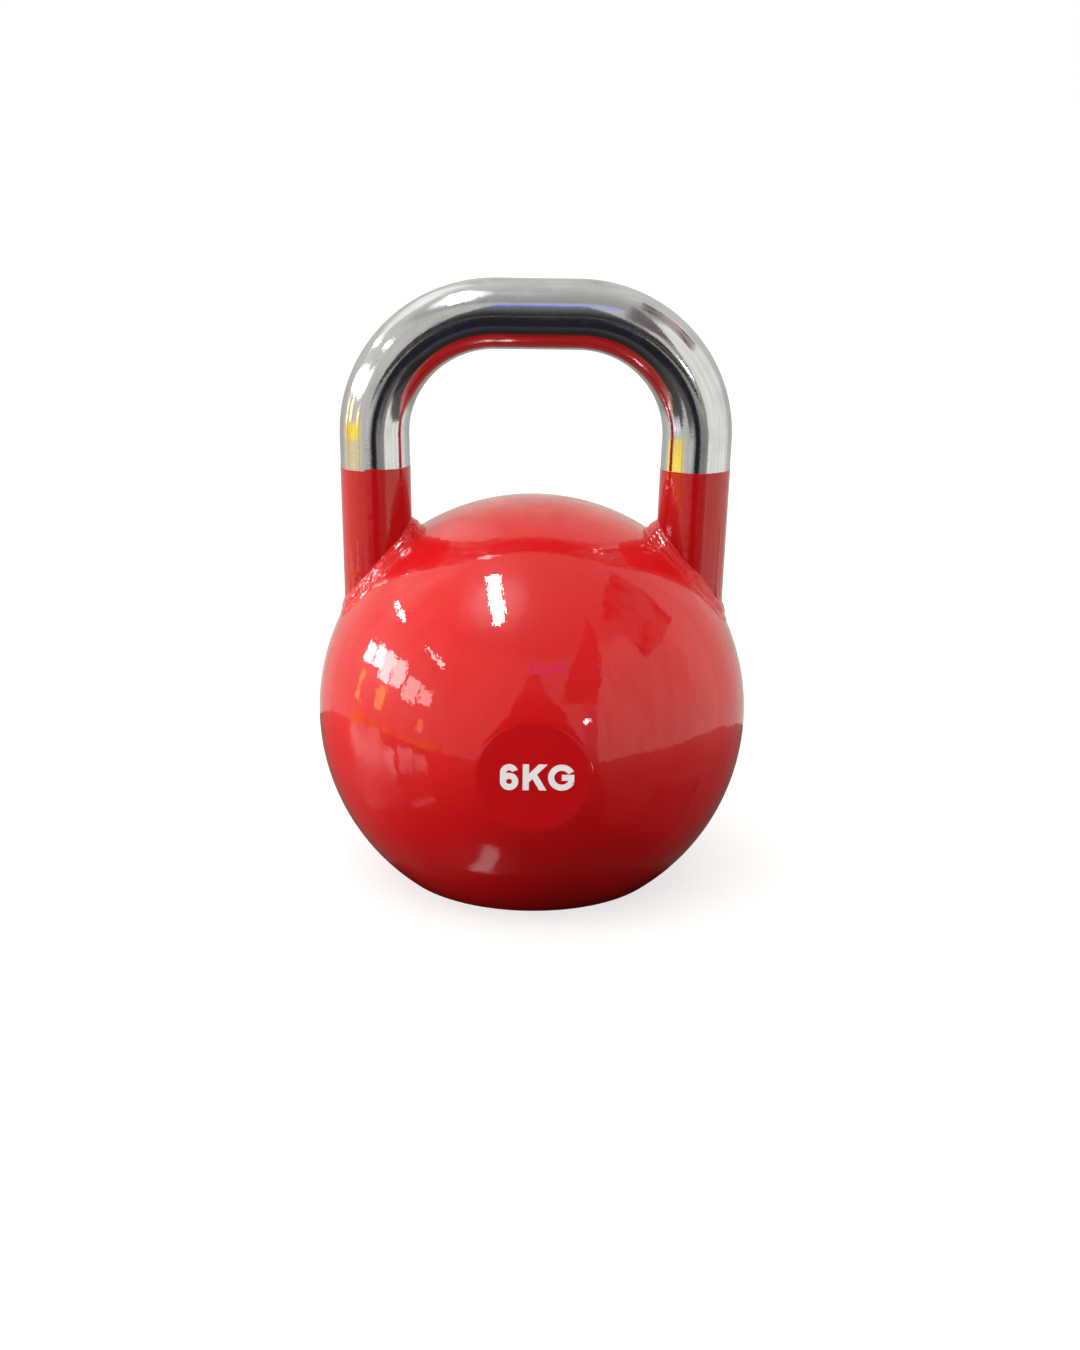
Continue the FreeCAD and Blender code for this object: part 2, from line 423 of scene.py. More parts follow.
def weld_bead(side, name):
    """A lumpy painted bead, with legs of equal length, all round the foot of a handle leg."""
    around = 400
    rows = 30
    window_focus = 4.0
    hold = 0.22
    sink = 0.12 * millimetre
    window_bulge = 0.9 * millimetre
    roundness = 0.8
    turns = np.linspace(0, 2 * math.pi, around, endpoint=False)
    down, _, _ = leg_axes(side)
    spokes = leg_spokes(side, turns)
    start = np.array(leg_start(side))
    centre = np.array(ball_centre)
    root_along = root_distances(side, turns)
    root = start + down * root_along[:, None] + spokes * tube_radius
    upward = (root - centre) / ball_radius
    outward = spokes - (spokes * upward).sum(-1, keepdims=True) * upward
    outward /= np.linalg.norm(outward, axis=-1, keepdims=True)
    window_side = np.exp(window_focus * (-np.sin(turns) - 1))
    leg_wobble = 0.07 * wave_noise(turns, 0, seed=51 + side, longest=2, shortest=14)
    ball_wobble = 0.09 * wave_noise(turns, 0, seed=61 + side, longest=2, shortest=18)
    leg_reach = weld_leg * (1 + leg_wobble + 0.40 * window_side)
    ball_reach = weld_leg * (1 + ball_wobble + 0.12 * window_side)
    arc = (ball_reach / ball_radius)[:, None]
    toe_normal = np.cos(arc) * upward + np.sin(arc) * outward
    toe_outward = np.cos(arc) * outward - np.sin(arc) * upward
    leg_toe = root - down * leg_reach[:, None]
    ball_toe = centre + ball_radius * toe_normal
    first_handle = leg_toe + down * (hold * leg_reach)[:, None]
    second_handle = ball_toe - toe_outward * (hold * ball_reach)[:, None]
    face_normal = np.cross(ball_toe - leg_toe, np.cross(upward, outward))
    face_normal /= np.linalg.norm(face_normal, axis=-1, keepdims=True)
    face_normal *= np.sign((face_normal * (spokes + upward)).sum(-1, keepdims=True))
    rings = []
    for row in range(rows + 1):
        share = row / rows
        rest = 1 - share
        face = (
            rest**3 * leg_toe
            + 3 * rest**2 * share * first_handle
            + 3 * rest * share**2 * second_handle
            + share**3 * ball_toe
        )
        swell = math.sin(math.pi * share) ** roundness
        lift = bead_relief(turns, share, side) * swell - sink
        lift += window_bulge * window_side * swell
        rings.append(face + face_normal * lift[:, None])
    depth = weld_root_depth
    rings.append(ball_toe - toe_normal * depth)
    rings.append(root + down * depth - spokes * depth)
    rings.append(leg_toe - spokes * depth)
    return closed_rings(name, np.array(rings), 75)


def bead_relief(turns, share, side):
    """Height of the bead above its plain face, in millimetres until the last line: smooth
    lumps, long runs with creases between them, and a few knots."""
    run_count = 2.4
    broad = wave_noise(turns, share * 3, seed=71 + side, longest=4, shortest=15, row_share=0.08)
    small = wave_noise(turns, share * 4, seed=91 + side, longest=9, shortest=26, row_share=0.25)
    lumps = 0.42 * broad
    wander = 0.22 * wave_noise(turns, 0, seed=81 + side, longest=3, shortest=12)
    runs = 0.62 * np.abs(np.cos(math.pi * (run_count * share + wander)))
    knots = 0.40 * np.abs(small)
    base_height = -0.25
    return millimetre * (base_height + lumps + runs + knots)


# ------------------------------------------------------------ node helpers


def add_node(tree, kind, inputs=None, **settings):
    """Adds a node; inputs are numbers, colours or other nodes' outputs, by name or place."""
    node = tree.nodes.new(kind)
    for name, value in settings.items():
        setattr(node, name, value)
    for name, value in (inputs or {}).items():
        if isinstance(value, bpy.types.NodeSocket):
            tree.links.new(value, node.inputs[name])
        else:
            node.inputs[name].default_value = value
    return node


def calculate(tree, operation, *values):
    """The output of a math node."""
    node = add_node(tree, "ShaderNodeMath", dict(enumerate(values)), operation=operation)
    return node.outputs[0]


def blend_colours(tree, share, first, second):
    node = add_node(tree, "ShaderNodeMix", {0: share, 6: first, 7: second}, data_type="RGBA")
    return node.outputs[2]


def noise_height(tree, scale, detail):
    """Noise in the object's own metres: scale is about how many features fit in one metre."""
    place = add_node(tree, "ShaderNodeTexCoord").outputs["Object"]
    settings = {"Vector": place, "Scale": scale, "Detail": detail, "Roughness": 0.5}
    return add_node(tree, "ShaderNodeTexNoise", settings).outputs["Fac"]


def rescale(tree, value, low, high, to_low, to_high):
    """Maps low...high smoothly onto to_low...to_high, and holds the ends beyond that."""
    node = add_node(
        tree,
        "ShaderNodeMapRange",
        {"Value": value, 1: low, 2: high, 3: to_low, 4: to_high},
        interpolation_type="SMOOTHSTEP",
    )
    return node.outputs[0]


def bump(tree, height, distance, under=None):
    """A bumped normal, on top of another bump if one is given."""
    inputs = {"Height": height, "Distance": distance, "Strength": 1.0}
    if under is not None:
        inputs["Normal"] = under
    return add_node(tree, "ShaderNodeBump", inputs).outputs[0]


def new_material(name):
    """A material with only a Principled shader, and its node tree."""
    material = bpy.data.materials.new(name)
    material.use_nodes = True
    tree = material.node_tree
    shader = next(n for n in tree.nodes if n.type == "BSDF_PRINCIPLED")
    return material, tree, shader


def connect(tree, shader, **inputs):
    """Links a colour, a roughness or a normal to the shader."""
    names = {"colour": "Base Color", "roughness": "Roughness", "normal": "Normal"}
    for word, output in inputs.items():
        tree.links.new(output, shader.inputs[names[word]])


# --------------------------------------------------------------- materials


def red_enamel(name, depth):
    """Thick glossy paint: slow waves, orange peel, a little shade change, chips at the base.
    depth below 1 is a darker copy of the same paint: painted shade."""
    material, tree, shader = new_material(name)
    bright = (0.74 * depth, 0.0055 * depth, 0.0082 * depth, 1)
    deep = (0.69 * depth, 0.0046 * depth, 0.0074 * depth, 1)
    bare = (0.16, 0.15, 0.14, 1)
    shade = rescale(tree, noise_height(tree, 22, 3), 0.35, 0.65, 0, 1)
    colour = blend_colours(tree, shade, bright, deep)

    place = add_node(tree, "ShaderNodeTexCoord").outputs["Object"]
    parts = add_node(tree, "ShaderNodeSeparateXYZ", {0: place}).outputs
    flat_place = add_node(tree, "ShaderNodeCombineXYZ", {0: parts["X"], 1: parts["Y"]}).outputs[0]
    from_middle = add_node(tree, "ShaderNodeVectorMath", {0: flat_place}, operation="LENGTH")
    at_rim = rescale(
        tree, from_middle.outputs["Value"], base_radius - 3 * millimetre, base_radius, 0, 1
    )
    at_floor = rescale(tree, parts["Z"], 0.0, 2.5 * millimetre, 1, 0)
    near_floor = calculate(tree, "MULTIPLY", at_floor, at_rim)
    speckle = rescale(tree, noise_height(tree, 260, 4), 0.60, 0.64, 0, 1)
    chipped = calculate(tree, "MULTIPLY", speckle, near_floor)
    colour = blend_colours(tree, chipped, colour, bare)

    rough = rescale(tree, noise_height(tree, 90, 4), 0.3, 0.7, 0.30, 0.42)
    slow_waves = bump(tree, noise_height(tree, 70, 1), 0.16 * millimetre)
    dents = bump(tree, noise_height(tree, 230, 2), 0.075 * millimetre, slow_waves)
    peel = bump(tree, noise_height(tree, 620, 2), 0.012 * millimetre, dents)
    chip_edge = calculate(tree, "MULTIPLY", chipped, -1.0)
    surface = bump(tree, chip_edge, 0.12 * millimetre, peel)
    connect(tree, shader, colour=colour, roughness=rough, normal=surface)
    shader.inputs["Specular IOR Level"].default_value = 0.08
    shader.inputs["Coat Weight"].default_value = 1.0
    shader.inputs["Coat Roughness"].default_value = 0.028
    shader.inputs["Coat IOR"].default_value = 1.49
    tree.links.new(surface, shader.inputs["Coat Normal"])
    return material


def chrome():
    """Plating over hand-polished tube: haze, fine grain, pits and slow waves, with painted shade
    that greys the downward-facing side.
    """
    material, tree, shader = new_material("chrome_plating")
    clean = (0.64, 0.665, 0.71, 1)
    hazy = (0.55, 0.575, 0.62, 1)
    haze = rescale(tree, noise_height(tree, 55, 4), 0.42, 0.75, 0, 1)
    colour = blend_colours(tree, haze, clean, hazy)
    facing = add_node(tree, "ShaderNodeNewGeometry").outputs["Normal"]
    facing_up = add_node(tree, "ShaderNodeSeparateXYZ", {0: facing}).outputs["Z"]
    # Painted shade: where the tube faces downwards its colour turns a flat grey, standing in for the
    # dimmer reflections under the bar and bends.
    painted_underside_shade = rescale(tree, facing_up, -0.34, -0.2, 0.8, 0)
    colour = blend_colours(tree, painted_underside_shade, colour, (0.36, 0.36, 0.36, 1))
    grain = rescale(tree, noise_height(tree, 1300, 2), 0.4, 0.7, 0, 0.06)
    rough = calculate(tree, "ADD", rescale(tree, haze, 0, 1, 0.07, 0.13), grain)
    waves = bump(tree, noise_height(tree, 60, 2), 0.10 * millimetre)
    pits = bump(tree, noise_height(tree, 900, 2), 0.022 * millimetre, waves)
    connect(tree, shader, colour=colour, roughness=rough, normal=pits)
    shader.inputs["Metallic"].default_value = 1.0
    shader.inputs["Specular Tint"].default_value = (0.86, 0.86, 0.86, 1)
    return material


def white_marking():
    """Thin stencilled paint, slightly uneven.  It gives off a little light, because the lamps
    that suit the enamel leave white paint too grey."""
    material, tree, shader = new_material("white_marking_paint")
    thin = rescale(tree, noise_height(tree, 700, 3), 0.35, 0.75, 0, 1)
    colour = blend_colours(tree, thin, (0.93, 0.93, 0.94, 1), (0.84, 0.82, 0.83, 1))
    rough = rescale(tree, noise_height(tree, 900, 2), 0.3, 0.7, 0.35, 0.55)
    surface = bump(tree, noise_height(tree, 1400, 2), 0.02 * millimetre)
    connect(tree, shader, colour=colour, roughness=rough, normal=surface)
    shader.inputs["Emission Color"].default_value = (1, 0.97, 0.97, 1)
    shader.inputs["Emission Strength"].default_value = 0.18
    return material


def zinc():
    """Zinc-plated steel with a crystalline bloom and fine pits."""
    material, tree, shader = new_material("zinc_plating")
    bloom = rescale(tree, noise_height(tree, 320, 3), 0.35, 0.65, 0, 1)
    colour = blend_colours(tree, bloom, (0.52, 0.54, 0.56, 1), (0.38, 0.40, 0.43, 1))
    rough = rescale(tree, noise_height(tree, 500, 3), 0.3, 0.7, 0.28, 0.48)
    surface = bump(tree, noise_height(tree, 1600, 2), 0.02 * millimetre)
    connect(tree, shader, colour=colour, roughness=rough, normal=surface)
    shader.inputs["Metallic"].default_value = 1.0
    return material


def shot_in_resin():
    """Steel shot set in dark resin."""
    material, tree, shader = new_material("ballast_mix_looks")
    place = add_node(tree, "ShaderNodeTexCoord").outputs["Object"]
    cells = add_node(tree, "ShaderNodeTexVoronoi", {"Vector": place, "Scale": 350})
    bead = rescale(tree, cells.outputs["Distance"], 0.25, 0.45, 1, 0)
    colour = blend_colours(tree, bead, (0.02, 0.018, 0.015, 1), (0.25, 0.25, 0.26, 1))
    rough = rescale(tree, bead, 0, 1, 0.7, 0.35)
    surface = bump(tree, bead, 0.4 * millimetre)
    connect(tree, shader, colour=colour, roughness=rough, normal=surface)
    return material


def dress(piece, material):
    """Puts one material on a new piece, or in every slot of a CAD node."""
    if not piece.data.materials:
        piece.data.materials.append(material)
    for slot in piece.material_slots:
        slot.material = material


# ------------------------------------------------------------------- stage


def studio_floor():
    """A pale floor, seen from above only, that the paint and the chrome don't mirror."""
    half = 40.0
    corners = np.array([[-half, -half, 0], [half, -half, 0], [half, half, 0], [-half, half, 0]])
    floor = finish_mesh("studio_floor", corners, [(0, 1, 2, 3)], 30)
    material, tree, shader = new_material("studio_floor_paint")
    grain = rescale(tree, noise_height(tree, 3, 2), 0.3, 0.7, 0, 1)
    colour = blend_colours(tree, grain, (0.45, 0.45, 0.45, 1), (0.42, 0.42, 0.42, 1))
    connect(tree, shader, colour=colour)
    shader.inputs["Roughness"].default_value = 0.9
    shader.inputs["Specular IOR Level"].default_value = 0.0
    shader.inputs["Emission Color"].default_value = (1, 1, 1, 1)
    shader.inputs["Emission Strength"].default_value = 0.7
    backside = add_node(tree, "ShaderNodeNewGeometry").outputs["Backfacing"]
    clear = add_node(tree, "ShaderNodeBsdfTransparent").outputs[0]
    output = next(n for n in tree.nodes if n.type == "OUTPUT_MATERIAL")
    one_sided = add_node(
        tree, "ShaderNodeMixShader", {0: backside, 1: shader.outputs[0], 2: clear}
    )
    tree.links.new(one_sided.outputs[0], output.inputs["Surface"])
    dress(floor, material)
    floor.visible_glossy = False
    floor.visible_diffuse = False


def dark_table():
    """A dark polished sheet round the base, which only light and reflections meet."""
    half_length = 0.56
    half_depth = 0.34
    middle = np.array([-0.07, -0.12, -0.0005])
    squareness = 2.5
    turns = np.linspace(0, 2 * math.pi, 96, endpoint=False)
    power = 2 / squareness
    across = np.sign(np.cos(turns)) * np.abs(np.cos(turns)) ** power * half_length
    along = np.sign(np.sin(turns)) * np.abs(np.sin(turns)) ** power * half_depth
    outline = middle + np.stack([across, along, 0 * turns], -1)
    hole_radius = base_radius - 2 * millimetre
    hole = np.stack([np.cos(turns) * hole_radius, np.sin(turns) * hole_radius, 0 * turns], -1)
    hole[:, 2] = middle[2]
    rings = np.stack([hole, outline])
    table = finish_mesh("dark_table", rings, ring_faces(2, len(turns), False), 30)
    material, tree, shader = new_material("dark_table_polish")
    colour = blend_colours(
        tree, noise_height(tree, 12, 3), (0.018, 0.015, 0.015, 1), (0.026, 0.024, 0.022, 1)
    )
    place = add_node(tree, "ShaderNodeTexCoord").outputs["Object"]
    parts = add_node(tree, "ShaderNodeSeparateXYZ", {0: place}).outputs
    left_end = rescale(tree, parts["X"], -0.16, -0.12, 1, 0)
    far_side = rescale(tree, parts["Y"], -0.115, -0.095, 0, 1)
    matt = calculate(tree, "MULTIPLY", left_end, far_side)
    rough = rescale(tree, matt, 0, 1, 0.09, 0.28)
    connect(tree, shader, colour=colour, roughness=rough)
    dress(table, material)
    table.visible_camera = False
    table.visible_shadow = False


def toward(azimuth, elevation):
    """Unit vector: azimuth 0 is the front (-Y) and 90 is +X."""
    azimuth = math.radians(azimuth)
    elevation = math.radians(elevation)
    level = math.cos(elevation)
    return Vector((math.sin(azimuth) * level, -math.cos(azimuth) * level, math.sin(elevation)))


def softbox(name, azimuth, elevation, width, height, turn, brightness, colour=(1, 1, 1)):
    """A rectangular light seen from the ball at that place and angular size, in degrees."""
    distance = 2.0
    light = bpy.data.lights.new(name, "AREA")
    light.shape = "RECTANGLE"
    light.size = 2 * distance * math.tan(math.radians(width / 2))
    light.size_y = 2 * distance * math.tan(math.radians(height / 2))
    light.energy = brightness * watts_per_brightness * light.size * light.size_y
    light.color = colour
    lamp = bpy.data.objects.new(name, light)
    bpy.context.scene.collection.objects.link(lamp)
    direction = toward(azimuth, elevation)
    right = Vector((0, 0, 1)).cross(direction).normalized()
    up = direction.cross(right)
    facing = Matrix((right, up, direction)).transposed()
    roll = Matrix.Rotation(math.radians(turn), 3, "Z")
    placed = (facing @ roll).to_4x4()
    placed.translation = ball_centre + direction * distance
    lamp.matrix_world = placed
    lamp.visible_camera = False
    return lamp


def floor_bounce(name, x, y, brightness):
    """Soft light that rises from a stretch of floor beside the ball."""
    width = 0.36
    depth = 0.44
    above_floor = 1.0 * millimetre
    light = bpy.data.lights.new(name, "AREA")
    light.shape = "RECTANGLE"
    light.size = width
    light.size_y = depth
    light.energy = brightness * watts_per_brightness * width * depth
    lamp = bpy.data.objects.new(name, light)
    bpy.context.scene.collection.objects.link(lamp)
    lamp.location = (x, y, above_floor)
    lamp.rotation_euler = (math.pi, 0, 0)
    lamp.visible_camera = False
    lamp.visible_glossy = False


def studio_lights():
    """Soft light from the left and from overhead, and the small bright ones the gloss picks up."""
    for name, azimuth, elevation, width, height, brightness in (
        ("key_light", -74, 8, 50, 22, 3.1),
        ("overhead_light", -25, 72, 50, 40, 1.4),
    ):
        soft = softbox(name, azimuth, elevation, width, height, 0, brightness)
        soft.visible_glossy = False
    floor_bounce("left_floor_bounce", -0.31, -0.05, 0.9)
    floor_bounce("right_floor_bounce", 0.31, -0.05, 0.35)
    white = (1, 1, 1)
    warm = (1, 0.93, 0.8)
    orange = (1, 0.42, 0.05)
    lamp = softbox(
        "ceiling_light", ceiling_light_azimuth, ceiling_light_elevation, 6.3, 30.4, 56, 34
    )
    lamp.visible_diffuse = False
    for name, azimuth, elevation, width, height, turn, brightness, colour in (
        ("left_tube", -106.6, 30.9, 1.8, 17.0, -78, 20, white),
        ("front_tube", -63.5, 31.6, 1.8, 14.2, -105, 12, warm),
        ("glint", 28.4, 9.6, 2.4, 2.4, 0, 20, white),
        ("window_pane_1", -105.8, 13.0, 7.0, 7, 8, 12, white),
        ("window_pane_2", -98.0, 15.5, 7.5, 8, 12, 13, white),
        ("window_pane_3", -89.5, 15.0, 8.5, 11, -4, 10, white),
        ("window_pane_4", -80.5, 16.0, 8.0, 11, 4, 8, white),
        ("window_pane_5", -69.0, 13.0, 9.0, 10, 0, 5, white),
        ("window_pane_6", -59.5, 13.5, 7.0, 8, -4, 4.5, white),
        ("orange_bar_1", -104.5, 1.5, 3.0, 10, 0, 5.0, orange),
        ("orange_bar_2", -87.5, 3.0, 5.0, 9, 0, 5.5, orange),
        ("orange_bar_3", -60.0, 0.0, 3.4, 6, 0, 3.5, orange),
    ):
        lamp = softbox(name, azimuth, elevation, width, height, turn, brightness, colour)
        lamp.visible_diffuse = False


def inside_limits(tree, soft, *excesses):
    """1 where every excess is negative, 0 where any is positive, over a soft edge."""
    furthest = excesses[0]
    for excess in excesses[1:]:
        furthest = calculate(tree, "MAXIMUM", furthest, excess)
    return rescale(tree, furthest, -soft, soft, 1, 0)


def off_middle(tree, value, middle, half):
    """How far a value lies beyond half each side of a middle; negative inside."""
    away = calculate(tree, "ABSOLUTE", calculate(tree, "SUBTRACT", value, middle))
    return calculate(tree, "SUBTRACT", away, half)


def wall_panel(tree, direction, azimuth, elevation, half_width, half_height, soft):
    """1 inside a flat rectangle on a wall that faces the ball, given in degrees."""
    forward = toward(azimuth, elevation)
    right = Vector((0, 0, 1)).cross(forward).normalized()
    up = forward.cross(right)
    parts = []
    for axis in (forward, right, up):
        product = add_node(
            tree, "ShaderNodeVectorMath", {0: direction, 1: axis}, operation="DOT_PRODUCT"
        )
        parts.append(product.outputs["Value"])
    ahead, aside, above = parts
    reach = math.tan(math.radians(half_width))
    rise = math.tan(math.radians(half_height))
    return inside_limits(
        tree,
        math.radians(soft),
        off_middle(tree, calculate(tree, "DIVIDE", aside, ahead), 0.0, reach),
        off_middle(tree, calculate(tree, "DIVIDE", above, ahead), 0.0, rise),
        calculate(tree, "MULTIPLY", ahead, -1.0),
    )


def room_walls(tree, azimuth, elevation):
    """Walls from the left of the view to the right, brighter on the right, paler behind.  Also
    gives how many degrees past the right wall's corner each direction is."""
    left_side = rescale(tree, azimuth, -100, -30, 0, 1)
    colour = blend_colours(tree, left_side, (0.86, 0.84, 0.75, 1), (0.77, 0.74, 0.66, 1))
    climb = calculate(tree, "MAXIMUM", calculate(tree, "SUBTRACT", elevation, 16.0), 0.0)
    corner = calculate(tree, "ADD", calculate(tree, "MULTIPLY", climb, 0.5), 34.5)
    past_corner = calculate(tree, "SUBTRACT", azimuth, corner)
    colour = blend_colours(
        tree, rescale(tree, past_corner, -1, 1, 0, 1), colour, (1.16, 1.12, 0.99, 1)
    )
    sideways = calculate(tree, "ABSOLUTE", azimuth)
    behind = rescale(tree, sideways, 105, 130, 0, 1)
    far_wall = blend_colours(
        tree, rescale(tree, elevation, -8, 12, 0, 1), (0.68, 0.66, 0.60, 1), (0.86, 0.84, 0.75, 1)
    )
    colour = blend_colours(tree, behind, colour, far_wall)
    lit_wall = inside_limits(
        tree, 8.0, off_middle(tree, azimuth, -134.0, 26.0), off_middle(tree, elevation, 42.0, 16.0)
    )
    return blend_colours(tree, lit_wall, colour, (1.45, 1.40, 1.25, 1)), past_corner


def low_things(tree, colour, azimuth, elevation):
    """Upright clutter along the walls in faint streaks, yellow crates, and the dim floor."""
    across = calculate(tree, "MULTIPLY", azimuth, 0.16)
    upward = calculate(tree, "MULTIPLY", elevation, 0.03)
    spot = add_node(tree, "ShaderNodeCombineXYZ", {0: across, 1: upward}).outputs[0]
    streaks = add_node(tree, "ShaderNodeTexNoise", {"Vector": spot, "Scale": 1.0, "Detail": 4})
    dim = rescale(tree, streaks.outputs["Fac"], 0.35, 0.60, 0.30, 0)
    colour = blend_colours(tree, dim, colour, (0.38, 0.36, 0.34, 1))
    crates = inside_limits(
        tree,
        1.0,
        calculate(tree, "MULTIPLY", off_middle(tree, azimuth, -78.0, 32.0), 0.25),
        off_middle(tree, elevation, -10.6, 3.4),
    )
    gaps = rescale(tree, streaks.outputs["Fac"], 0.36, 0.50, 1, 0)
    crate_colour = blend_colours(tree, gaps, (1.55, 1.12, 0.12, 1), (0.80, 0.60, 0.18, 1))
    colour = blend_colours(tree, crates, colour, crate_colour)
    for middle in (-101.5, -92.0):
        strap = inside_limits(
            tree,
            0.8,
            off_middle(tree, azimuth, middle, 1.4),
            off_middle(tree, elevation, -20.0, 9.0),
        )
        colour = blend_colours(tree, strap, colour, (1.6, 0.7, 0.16, 1))
    lower = rescale(tree, elevation, -9, -6, 1, 0)
    in_front = inside_limits(tree, 6.0, off_middle(tree, azimuth, 8.0, 22.0))
    dim_floor = calculate(tree, "MULTIPLY", in_front, lower)
    colour = blend_colours(tree, dim_floor, colour, (0.34, 0.30, 0.28, 1))
    dark_floor = inside_limits(
        tree, 2.0, off_middle(tree, azimuth, -2.0, 26.0), calculate(tree, "ADD", elevation, 15.0)
    )
    return blend_colours(tree, dark_floor, colour, (0.13, 0.11, 0.10, 1))


def ceiling(tree, colour, direction, backward, elevation):
    """A ceiling that is darker towards the front and glows round its light."""
    halo_reach = math.radians(18)
    backness = rescale(tree, backward, -0.8, 0.8, 0, 1)
    plain = blend_colours(tree, backness, (0.45, 0.44, 0.39, 1), (0.90, 0.88, 0.79, 1))
    ceiling_edge = rescale(tree, backward, -0.2, 0.4, 43, 60)
    above_edge = calculate(tree, "SUBTRACT", elevation, ceiling_edge)
    overhead = rescale(tree, above_edge, -5, 5, 0, 1)
    colour = blend_colours(tree, overhead, colour, plain)
    lit_spot = toward(ceiling_light_azimuth, ceiling_light_elevation)
    closeness = add_node(
        tree, "ShaderNodeVectorMath", {0: direction, 1: lit_spot}, operation="DOT_PRODUCT"
    ).outputs["Value"]
    halo = rescale(tree, closeness, math.cos(halo_reach), 1.0, 0, 0.85)
    return blend_colours(tree, halo, colour, (2.1, 2.15, 2.2, 1))


def dark_doorway(tree, colour, direction):
    """A dark doorway on the right, with things in it."""
    doorway = wall_panel(tree, direction, 92.0, 43.5, 16.0, 15.0, 0.8)
    things = add_node(tree, "ShaderNodeTexNoise", {"Vector": direction, "Scale": 5, "Detail": 5})
    shade = rescale(tree, things.outputs["Fac"], 0.40, 0.62, 0, 1)
    inner = blend_colours(tree, shade, (0.12, 0.08, 0.08, 1), (0.62, 0.50, 0.48, 1))
    return blend_colours(tree, doorway, colour, inner)


def gap_by_corner(tree, colour, azimuth, elevation, past_corner):
    """A dark leaf-shaped gap left of the right wall's corner, and a dim strip below it."""
    climb = calculate(tree, "MAXIMUM", calculate(tree, "SUBTRACT", elevation, 20.0), 0.0)
    curve = calculate(tree, "MULTIPLY", calculate(tree, "POWER", climb, 2.0), 0.026)
    left_edge = calculate(tree, "ADD", curve, 16.5)
    leaf = inside_limits(
        tree,
        1.0,
        calculate(tree, "SUBTRACT", left_edge, azimuth),
        past_corner,
        calculate(tree, "SUBTRACT", 18.5, elevation),
    )
    colour = blend_colours(tree, leaf, colour, (0.22, 0.17, 0.17, 1))
    strip = inside_limits(
        tree,
        1.5,
        off_middle(tree, past_corner, -3.5, 3.5),
        calculate(tree, "SUBTRACT", elevation, 20.0),
    )
    faint_strip = calculate(tree, "MULTIPLY", strip, 0.75)
    return blend_colours(tree, faint_strip, colour, (0.3, 0.25, 0.25, 1))


def front_stand(tree, colour, azimuth, elevation):
    """A dark stand that narrows upwards, its foot, its dark base, and a violet light above."""
    height_left = calculate(tree, "SUBTRACT", 40.0, elevation)
    stand_half = calculate(tree, "MULTIPLY", height_left, 0.57)
    stand = inside_limits(
        tree,
        1.2,
        off_middle(tree, azimuth, 1.0, stand_half),
        calculate(tree, "SUBTRACT", -6.0, elevation),
    )
    glow = rescale(tree, elevation, 4, 36, 0.035, 0.24)
    stand_colour = add_node(tree, "ShaderNodeCombineColor", {0: glow, 1: glow, 2: glow})
    colour = blend_colours(tree, stand, colour, stand_colour.outputs[0])
    foot = inside_limits(
        tree, 0.6, off_middle(tree, azimuth, 1.0, 22.0), off_middle(tree, elevation, 0.5, 1.0)
    )
    colour = blend_colours(tree, foot, colour, (0.24, 0.15, 0.13, 1))
    base_half = calculate(tree, "ADD", calculate(tree, "MULTIPLY", elevation, -0.55), 1.5)
    base = inside_limits(
        tree,
        3.0,
        off_middle(tree, azimuth, 0.0, base_half),
        off_middle(tree, elevation, -35.0, 32.0),
    )
    colour = blend_colours(tree, base, colour, (0.02, 0.02, 0.028, 1))
    violet = inside_limits(
        tree, 0.7, off_middle(tree, azimuth, 9.0, 11.0), off_middle(tree, elevation, 37.0, 1.7)
    )
    return blend_colours(tree, violet, colour, (0.36, 0.46, 1.9, 1))


def room_light():
    """The room that the gloss shows, by direction in degrees; plain white to the camera."""
    world = bpy.data.worlds.new("room")
    world.use_nodes = True
    bpy.context.scene.world = world
    tree = world.node_tree
    tree.nodes.clear()
    direction = add_node(tree, "ShaderNodeTexCoord").outputs["Generated"]
    parts = add_node(tree, "ShaderNodeSeparateXYZ", {0: direction}).outputs
    elevation = calculate(tree, "DEGREES", calculate(tree, "ARCSINE", parts["Z"]))
    frontness = calculate(tree, "MULTIPLY", parts["Y"], -1.0)
    azimuth = calculate(tree, "DEGREES", calculate(tree, "ARCTAN2", parts["X"], frontness))
    colour, past_corner = room_walls(tree, azimuth, elevation)
    colour = low_things(tree, colour, azimuth, elevation)
    colour = ceiling(tree, colour, direction, parts["Y"], elevation)
    colour = dark_doorway(tree, colour, direction)
    colour = gap_by_corner(tree, colour, azimuth, elevation, past_corner)
    colour = front_stand(tree, colour, azimuth, elevation)
    camera_ray = add_node(tree, "ShaderNodeLightPath").outputs["Is Camera Ray"]
    colour = blend_colours(tree, camera_ray, colour, (1, 1, 1, 1))
    background = add_node(tree, "ShaderNodeBackground", {"Color": colour, "Strength": 1.0})
    output = add_node(tree, "ShaderNodeOutputWorld")
    tree.links.new(background.outputs[0], output.inputs["Surface"])


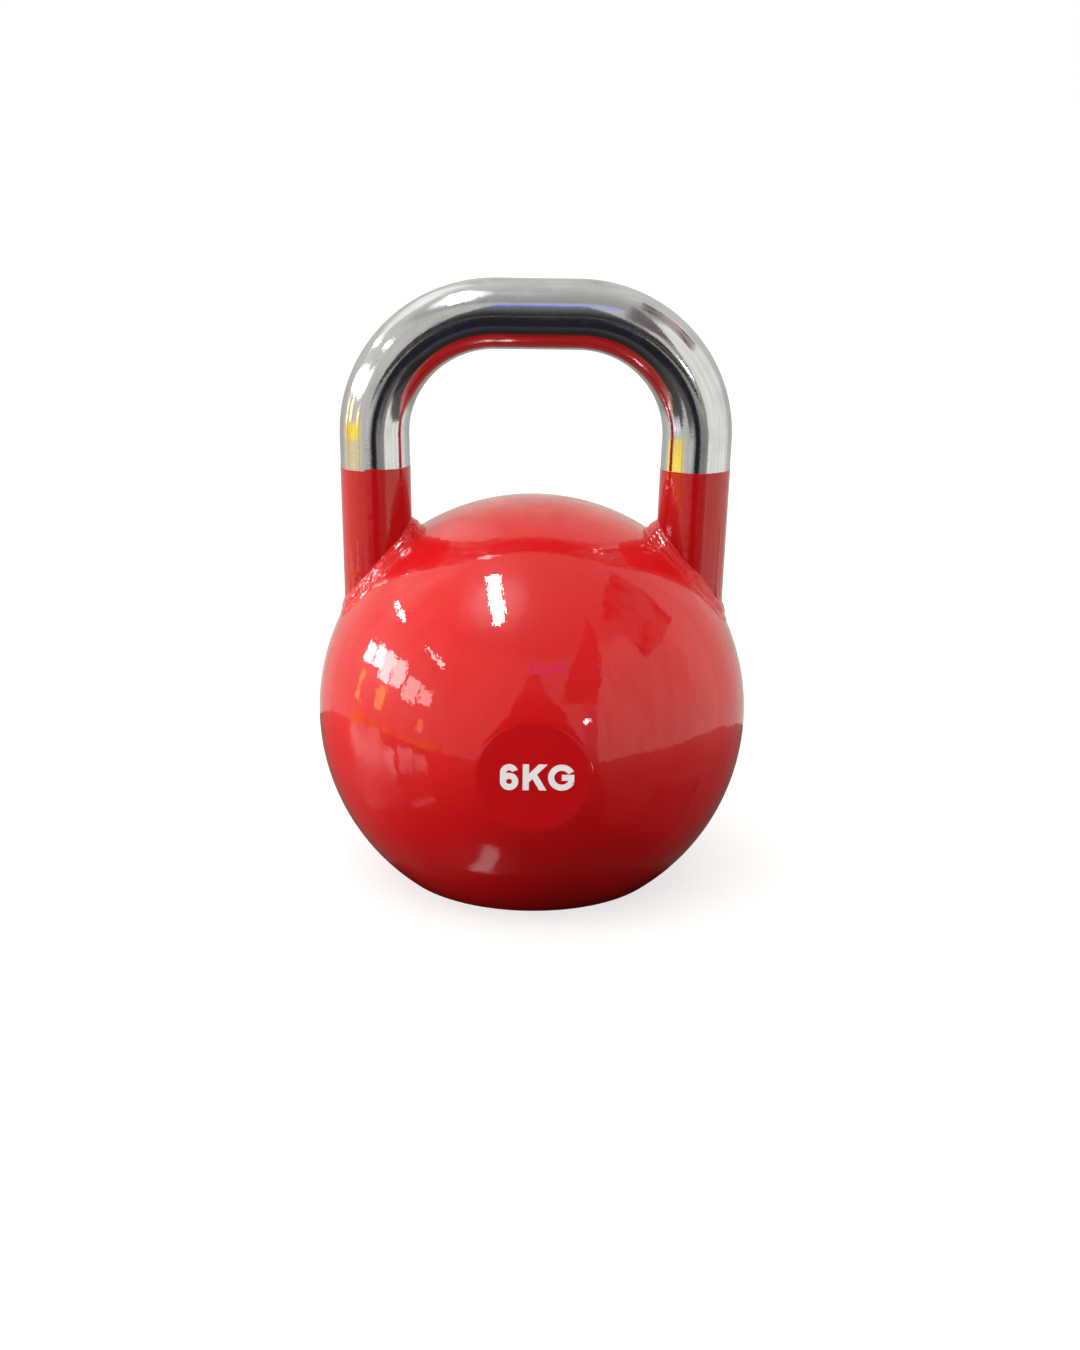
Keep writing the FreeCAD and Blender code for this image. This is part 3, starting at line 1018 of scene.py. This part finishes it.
def camera():
    """The view from the front and a little above, with the ball just off the picture's middle."""
    distance = 1.25
    pitch = 18.186
    azimuth = -0.694
    roll = math.radians(0.911)
    ball_aside = -4.04 * millimetre
    ball_above = -15.08 * millimetre
    back = toward(azimuth, pitch)
    right = (-back).cross(Vector((0, 0, 1))).normalized()
    up = right.cross(-back)
    turned_right = math.cos(roll) * right + math.sin(roll) * up
    turned_up = -math.sin(roll) * right + math.cos(roll) * up
    lens = bpy.data.cameras.new("camera")
    lens.sensor_width = 36
    lens.lens = 67.18
    lens.clip_start = 0.05
    lens.clip_end = 200
    viewer = bpy.data.objects.new("camera", lens)
    bpy.context.scene.collection.objects.link(viewer)
    placed = Matrix((turned_right, turned_up, back)).transposed().to_4x4()
    aim = ball_centre - ball_aside * turned_right - ball_above * turned_up
    placed.translation = aim + distance * back
    viewer.matrix_world = placed
    bpy.context.scene.camera = viewer


# ---------------------------------------------------------------- assembly


def add_piece(piece, material, slot, *nodes):
    """Dresses a piece, fixes it to the one body, and hides the CAD nodes that it replaces."""
    dress(piece, material)
    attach(piece, "root")
    if nodes:
        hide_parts(*nodes)


def build():
    """Every new piece, and looks for the CAD nodes that stay."""
    enamel = red_enamel("red_enamel_paint", 1.0)
    # The legs get the ball's enamel made darker: painted shade for upright surfaces that the
    # overhead light reaches less.
    shaded_leg_enamel = red_enamel("leg_enamel_painted_shade", 0.76)
    add_piece(enamel_ball(), enamel, "red_enamel", "front_shell", "back_shell", "seam_weld")
    add_piece(chrome_handle(), chrome(), "chrome_plate", "handle_tube")
    add_piece(leg_enamel(-1, "left_leg_enamel"), shaded_leg_enamel, "red_enamel")
    add_piece(leg_enamel(1, "right_leg_enamel"), shaded_leg_enamel, "red_enamel")
    add_piece(weld_bead(-1, "left_weld_bead"), enamel, "red_enamel", "left_leg_weld")
    add_piece(weld_bead(1, "right_weld_bead"), enamel, "red_enamel", "right_leg_weld")
    nodes = frame["nodes"]
    for node in ("base_plate", "base_weld"):
        dress(nodes[node], enamel)
    dress(nodes["weight_marking"], white_marking())
    dress(nodes["filler_plug"], zinc())
    dress(nodes["ballast"], shot_in_resin())


bpy.context.scene.view_settings.view_transform = "Standard"
build()
studio_floor()
dark_table()
studio_lights()
room_light()
camera()
